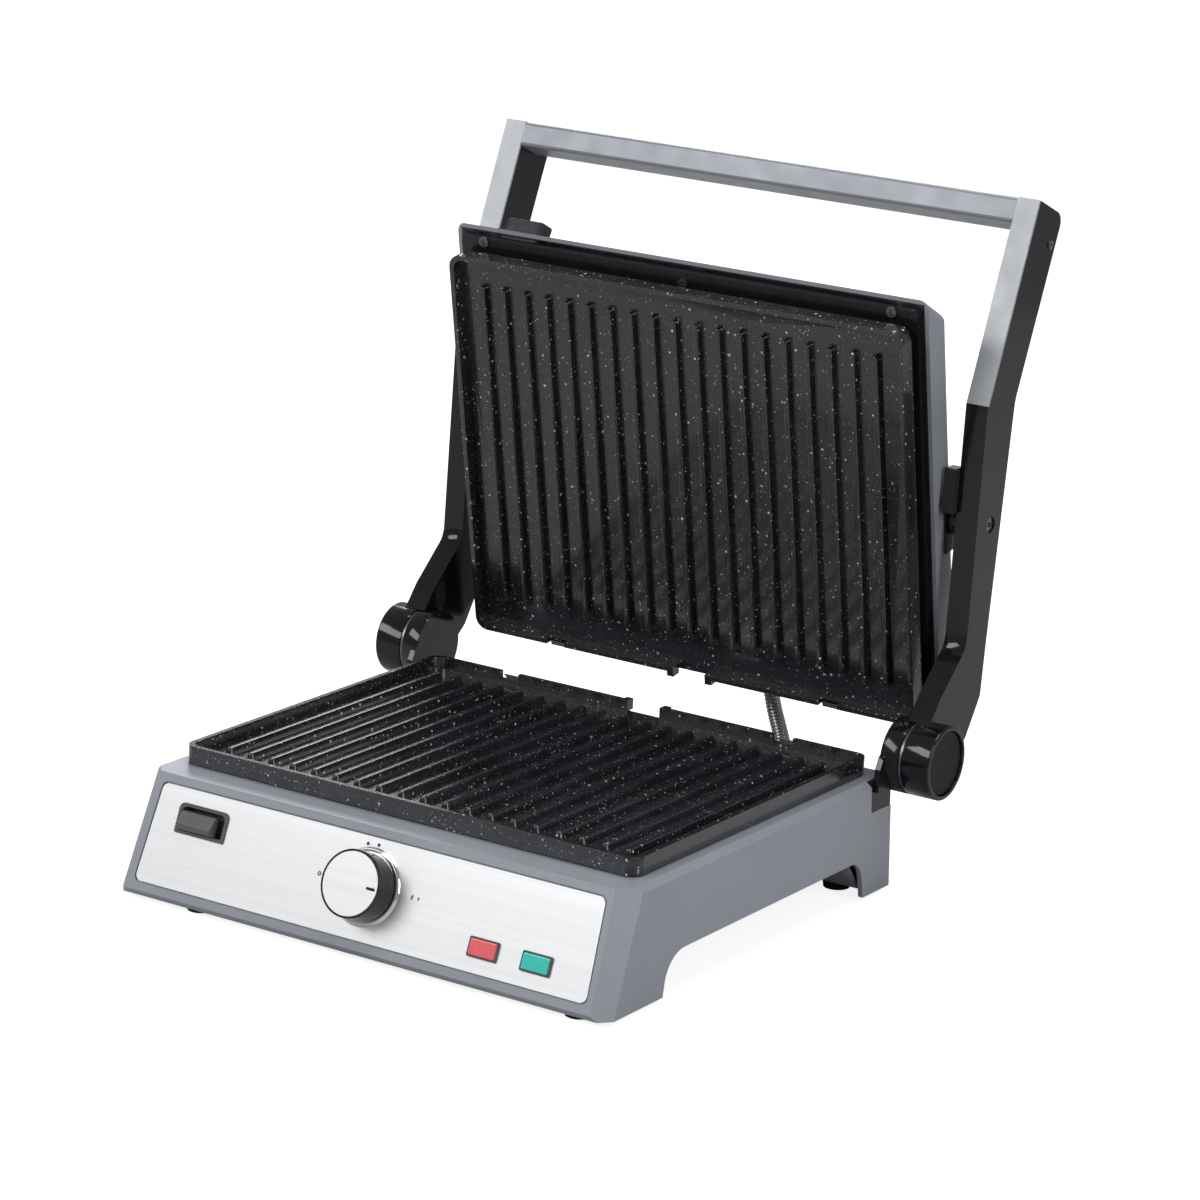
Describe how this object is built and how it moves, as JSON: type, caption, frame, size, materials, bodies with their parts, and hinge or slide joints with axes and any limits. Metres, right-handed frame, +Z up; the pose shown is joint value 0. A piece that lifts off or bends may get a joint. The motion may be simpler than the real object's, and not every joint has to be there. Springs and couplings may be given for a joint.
{
  "type": "panini press",
  "caption": "Contact grill with ribbed plates: a lid on two side arms folds up from the base, which has a thermostat dial and lamps.",
  "frame": {"origin": "on the table, under the middle of the whole press in its half-raised rest pose", "axes": "+Z up, +X to the user's right, -Y towards the user (front panel), hinge at +Y"},
  "size_m": [0.3836, 0.4191, 0.3886],
  "materials": {
    "body_paint": "satin cool grey paint on cast aluminium",
    "brushed_front": "fine brushed, nearly white",
    "dark_plastic": "moulded, fine texture",
    "release_grey": "moulded, satin",
    "knob_black": "polished",
    "chrome_trim": "bright",
    "lens_red": "moulded red lens",
    "lens_green": "moulded green lens",
    "lamp_body": "clear neon tube",
    "nonstick": "speckled black non-stick coating on cast aluminium",
    "spring_steel": "bare rolled steel",
    "element_steel": "dulled steel sheath",
    "sheet_steel": "zinc-plated pressed sheet",
    "foot_rubber": "soft black rubber",
    "fastener_steel": "plated steel",
    "ceramic": "white steatite",
    "arm_black": "gloss black enamel on cast aluminium",
    "arm_trim_grey": "satin light grey",
    "handle_grey": "satin silver-grey",
    "frame_black": "gloss black enamel",
    "conduit_steel": "ribbed flexible metal conduit"
  },
  "bodies": {
    "base": {"base_housing": "body_paint", "base_bottom_cover": "sheet_steel", "control_panel": "brushed_front", "knob_ring": "chrome_trim", "thermostat_body": "dark_plastic", "indicator_bezels": "release_grey", "pilot_lamps": "lamp_body", "indicator_lens_red": "lens_red", "indicator_lens_green": "lens_green", "lower_release_bezel": "release_grey", "lower_plate": "nonstick", "lower_plate_clips": "spring_steel", "lower_heating_element": "element_steel", "lower_heat_reflector": "sheet_steel", "front_feet": "foot_rubber", "rear_feet": "foot_rubber", "base_screws": "fastener_steel", "tray_guides": "sheet_steel", "grease_chute": "sheet_steel", "cord_gland": "dark_plastic", "terminal_block": "ceramic", "base_ferrule": "chrome_trim", "hinge_bracket_right": "arm_black", "hinge_bracket_left": "arm_black", "hinge_pins": "fastener_steel", "lid_cable_conduit": "conduit_steel"},
    "dial": {"thermostat_knob": "knob_black", "knob_cap": "brushed_front", "thermostat_shaft": "chrome_trim"},
    "lower_release": {"lower_release_button": "release_grey"},
    "drip_tray": {"drip_tray": "dark_plastic"},
    "hinge_discs": {"hinge_discs": "spring_steel"},
    "arms": {"arm_right": "arm_black", "arm_left": "arm_black", "arm_trim_right": "arm_trim_grey", "arm_trim_left": "arm_trim_grey", "handle_bar": "handle_grey", "boss_caps": "arm_black", "arm_screws": "fastener_steel", "arm_stop_pads": "dark_plastic"},
    "pivot_pins": {"lid_pivot_pins": "fastener_steel"},
    "lid": {"lid_housing": "body_paint", "lid_inner_frame": "frame_black", "lid_frame_screws": "frame_black", "upper_plate": "nonstick", "upper_plate_clips": "spring_steel", "upper_heating_element": "element_steel", "upper_heat_reflector": "sheet_steel", "lid_pivot_bracket_right": "frame_black", "lid_pivot_bracket_left": "frame_black", "upper_release_bezel": "dark_plastic", "lid_ferrule": "chrome_trim"},
    "upper_release": {"upper_release_button": "dark_plastic"}
  },
  "joints": [
    {"name": "fold_flat", "type": "hinge", "parent": "base", "child": "hinge_discs", "pos_m": [0, 0.0992, 0.0791], "axis": [1, 0, 0], "range_deg": [-83.6, 0], "deforming": ["lid_cable_conduit"]},
    {"name": "arm_hinge", "type": "hinge", "parent": "hinge_discs", "child": "arms", "pos_m": [0, 0.0992, 0.0791], "axis": [1, 0, 0], "range_deg": [0, 93.3], "deforming": ["lid_cable_conduit"]},
    {"name": "lid_level", "type": "hinge", "parent": "arms", "child": "pivot_pins", "pos_m": [0, 0.15062, 0.20645], "axis": [1, 0, 0], "range_deg": [-17, 0], "deforming": ["lid_cable_conduit"]},
    {"name": "lid_pivot", "type": "hinge", "parent": "pivot_pins", "child": "lid", "pos_m": [0, 0.15062, 0.20645], "axis": [1, 0, 0], "range_deg": [-13.9, 0], "deforming": ["lid_cable_conduit"]},
    {"name": "dial_turn", "type": "hinge", "parent": "base", "child": "dial", "pos_m": [0, -0.1883, 0.03808], "axis": [0, -0.9298, 0.368], "range_deg": [0, 180]},
    {"name": "lower_release_press", "type": "slide", "parent": "base", "child": "lower_release", "axis": [0, 0.9298, -0.368], "range_m": [0, 0.003], "stiffness_N_per_m": 300, "springref_m": -0.002},
    {"name": "upper_release_press", "type": "slide", "parent": "lid", "child": "upper_release", "axis": [0, -0.4442, -0.8959], "range_m": [0, 0.003], "stiffness_N_per_m": 300, "springref_m": -0.002},
    {"name": "tray_slide", "type": "slide", "parent": "base", "child": "drip_tray", "axis": [0, 1, 0], "range_m": [0, 0.09]}
  ],
  "couplings": [
    {"joint": "lid_pivot", "follows": "arm_hinge", "ratio": -0.14791},
    {"joint": "lid_level", "follows": "fold_flat", "ratio": 0.20215}
  ]
}
